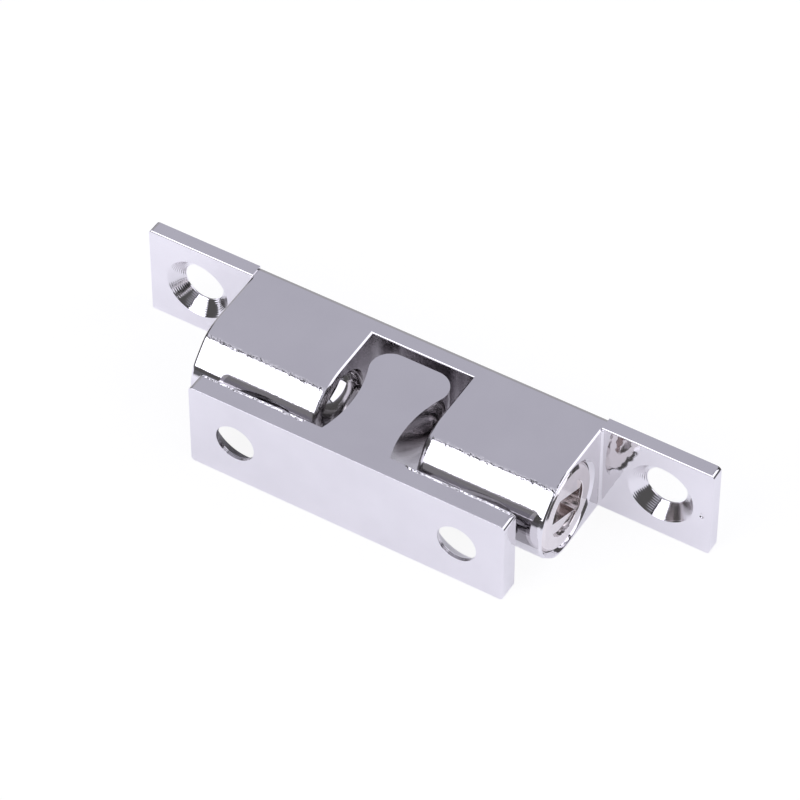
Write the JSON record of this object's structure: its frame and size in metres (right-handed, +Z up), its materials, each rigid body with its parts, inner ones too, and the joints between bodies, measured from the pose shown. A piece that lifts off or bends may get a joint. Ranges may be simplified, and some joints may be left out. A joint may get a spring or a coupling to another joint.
{
  "type": "double ball catch",
  "caption": "Ball catch with a notched, round-nosed housing on a screw base, whose sprung balls grip the waisted tongue of a matching strike plate.",
  "frame": {"origin": "middle of the base's flat mounting face", "axes": "+X along the catch, +Y out of the mounting face towards the surface it is screwed to, +Z up as the catch lies on its side"},
  "size_m": [0.06, 0.0157, 0.0106],
  "materials": {
    "plated_body": "bright plated",
    "plated_strike": "bright plated",
    "plated_plug": "warm plated, finely turned",
    "ball_steel": "polished",
    "spring_steel": "drawn wire"
  },
  "bodies": {
    "catch_body": {"catch_body": "plated_body"},
    "strike": {"strike": "plated_strike"},
    "left_ball": {"left_ball": "ball_steel"},
    "right_ball": {"right_ball": "ball_steel"},
    "left_spring": {"left_spring": "spring_steel"},
    "right_spring": {"right_spring": "spring_steel"},
    "left_adjuster": {"left_adjuster": "plated_plug"},
    "right_adjuster": {"right_adjuster": "plated_plug"}
  },
  "joints": [
    {"name": "strike_pull", "type": "slide", "parent": "catch_body", "child": "strike", "axis": [0, -1, 0], "range_m": [0, 0.0028]},
    {"name": "left_ball_push", "type": "slide", "parent": "catch_body", "child": "left_ball", "axis": [-1, 0, 0], "range_m": [0, 0.0008], "stiffness_N_per_m": 2000, "deforming": ["left_spring"]},
    {"name": "right_ball_push", "type": "slide", "parent": "catch_body", "child": "right_ball", "axis": [1, 0, 0], "range_m": [0, 0.0008], "stiffness_N_per_m": 2000, "deforming": ["right_spring"]},
    {"name": "left_adjuster_advance", "type": "slide", "parent": "catch_body", "child": "left_spring", "axis": [1, 0, 0], "range_m": [0, 0.001], "deforming": ["left_spring"]},
    {"name": "right_adjuster_advance", "type": "slide", "parent": "catch_body", "child": "right_spring", "axis": [-1, 0, 0], "range_m": [0, 0.001], "deforming": ["right_spring"]},
    {"name": "left_adjuster_turn", "type": "hinge", "parent": "left_spring", "child": "left_adjuster", "pos_m": [-0.0185, -0.0072, 0], "axis": [1, 0, 0], "range_deg": [0, 720]},
    {"name": "right_adjuster_turn", "type": "hinge", "parent": "right_spring", "child": "right_adjuster", "pos_m": [0.0185, -0.0072, 0], "axis": [-1, 0, 0], "range_deg": [0, 720]}
  ],
  "couplings": [
    {"joint": "left_ball_push", "follows": "strike_pull", "ratio": 0.27},
    {"joint": "right_ball_push", "follows": "strike_pull", "ratio": 0.27},
    {"joint": "left_adjuster_turn", "follows": "left_adjuster_advance", "rad_per_m": 12566},
    {"joint": "right_adjuster_turn", "follows": "right_adjuster_advance", "rad_per_m": 12566}
  ]
}
